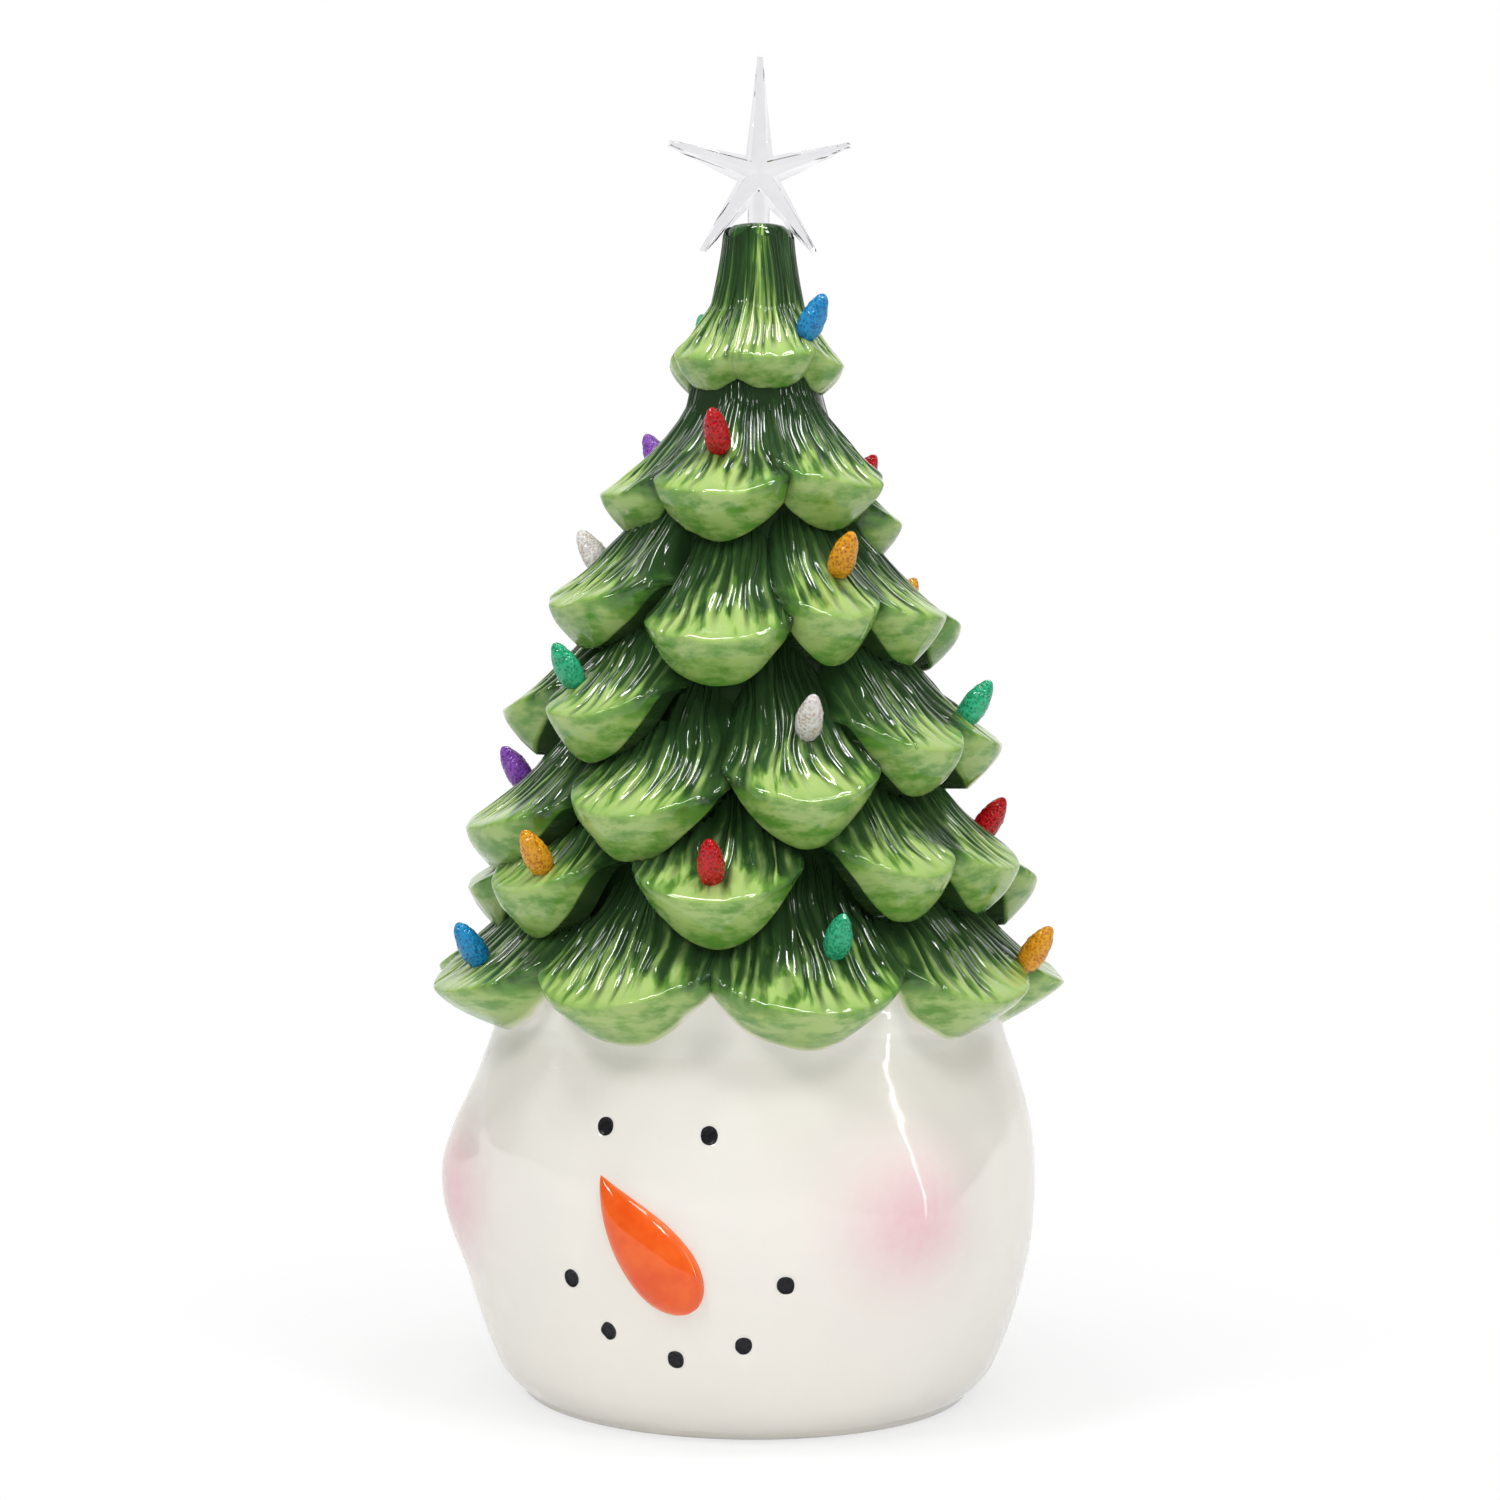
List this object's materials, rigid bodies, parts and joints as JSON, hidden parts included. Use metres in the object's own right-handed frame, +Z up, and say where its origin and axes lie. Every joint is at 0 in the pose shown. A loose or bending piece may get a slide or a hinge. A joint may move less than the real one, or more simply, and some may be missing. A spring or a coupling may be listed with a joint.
{
  "type": "ceramic light-up tree on a snowman head",
  "caption": "Glazed ceramic tabletop tree with translucent plastic bulbs and a clear star, standing on a snowman's head and lit from inside by a battery light.",
  "frame": {"origin": "middle of the foot ring, on the table", "axes": "+Z up; the face looks along -Y; +X to the right of someone looking at the face"},
  "size_m": [0.1559, 0.1519, 0.3282],
  "materials": {
    "tree_glaze": "high-gloss mottled green glaze",
    "head_glaze": "high-gloss warm white glaze with pink cheeks",
    "nose_glaze": "high-gloss orange glaze",
    "black_enamel": "glossy black enamel",
    "star_clear": "clear faceted plastic",
    "bulb_blue": "translucent stippled plastic",
    "bulb_green": "translucent stippled plastic",
    "bulb_red": "translucent stippled plastic",
    "bulb_purple": "translucent stippled plastic",
    "bulb_clear": "translucent stippled plastic",
    "bulb_yellow": "translucent stippled plastic",
    "base_plastic": "satin moulded plastic",
    "seal_rubber": "matte rubber",
    "screw_steel": "plated steel",
    "cell_jacket": "gloss printed jacket",
    "contact_steel": "plated spring steel",
    "board_laminate": "solder-masked laminate",
    "component_black": "moulded",
    "switch_black": "ribbed moulded plastic",
    "post_plastic": "satin moulded plastic",
    "cap_diffuser": "frosted plastic",
    "strip_white": "white laminate",
    "lamp_yellow": "phosphor gel",
    "wire_red": "insulated wire",
    "wire_black": "insulated wire"
  },
  "bodies": {
    "body": {"tree_shell": "tree_glaze", "head_shell": "head_glaze", "carrot_nose": "nose_glaze", "coal_eyes": "black_enamel", "coal_mouth": "black_enamel", "bulb_01": "bulb_blue", "bulb_02": "bulb_green", "bulb_03": "bulb_red", "bulb_04": "bulb_purple", "bulb_05": "bulb_red", "bulb_06": "bulb_clear", "bulb_07": "bulb_yellow", "bulb_08": "bulb_yellow", "bulb_09": "bulb_green", "bulb_10": "bulb_clear", "bulb_11": "bulb_green", "bulb_12": "bulb_purple", "bulb_13": "bulb_yellow", "bulb_14": "bulb_red", "bulb_15": "bulb_red", "bulb_16": "bulb_blue", "bulb_17": "bulb_green", "bulb_18": "bulb_yellow", "bulb_19": "bulb_yellow", "bulb_20": "bulb_blue", "bulb_21": "bulb_green", "bulb_22": "bulb_purple", "bulb_23": "bulb_red", "bulb_24": "bulb_blue", "bulb_25": "bulb_clear", "bulb_26": "bulb_green", "bulb_27": "bulb_yellow", "bulb_28": "bulb_purple", "base_plate": "base_plastic", "base_seal": "seal_rubber", "battery_1": "cell_jacket", "battery_2": "cell_jacket", "battery_3": "cell_jacket", "contact_springs": "contact_steel", "contact_plates": "contact_steel", "control_board": "board_laminate", "board_parts": "component_black", "board_screws": "screw_steel", "switch_body": "component_black", "light_post": "post_plastic", "post_screws": "screw_steel", "post_cap": "cap_diffuser", "led_strip_1": "strip_white", "led_strip_2": "strip_white", "led_strip_3": "strip_white", "led_chips": "lamp_yellow", "strip_jumpers": "wire_red", "lead_red": "wire_red", "lead_black": "wire_black"},
    "star": {"star_topper": "star_clear"},
    "door": {"battery_door": "base_plastic"},
    "screw": {"door_screw": "screw_steel"},
    "knob": {"switch_knob": "switch_black"}
  },
  "joints": [
    {"name": "star_lift", "type": "slide", "parent": "body", "child": "star", "axis": [0, 0, 1], "range_m": [0, 0.012]},
    {"name": "door_hinge", "type": "hinge", "parent": "body", "child": "door", "pos_m": [0, -0.0272, 0.0046], "axis": [-1, 0, 0], "range_deg": [0, 90]},
    {"name": "screw_out", "type": "slide", "parent": "door", "child": "screw", "axis": [0, 0, -1], "range_m": [0, 0.0047]},
    {"name": "switch_slide", "type": "slide", "parent": "body", "child": "knob", "axis": [0, 1, 0], "range_m": [0, 0.004]}
  ]
}
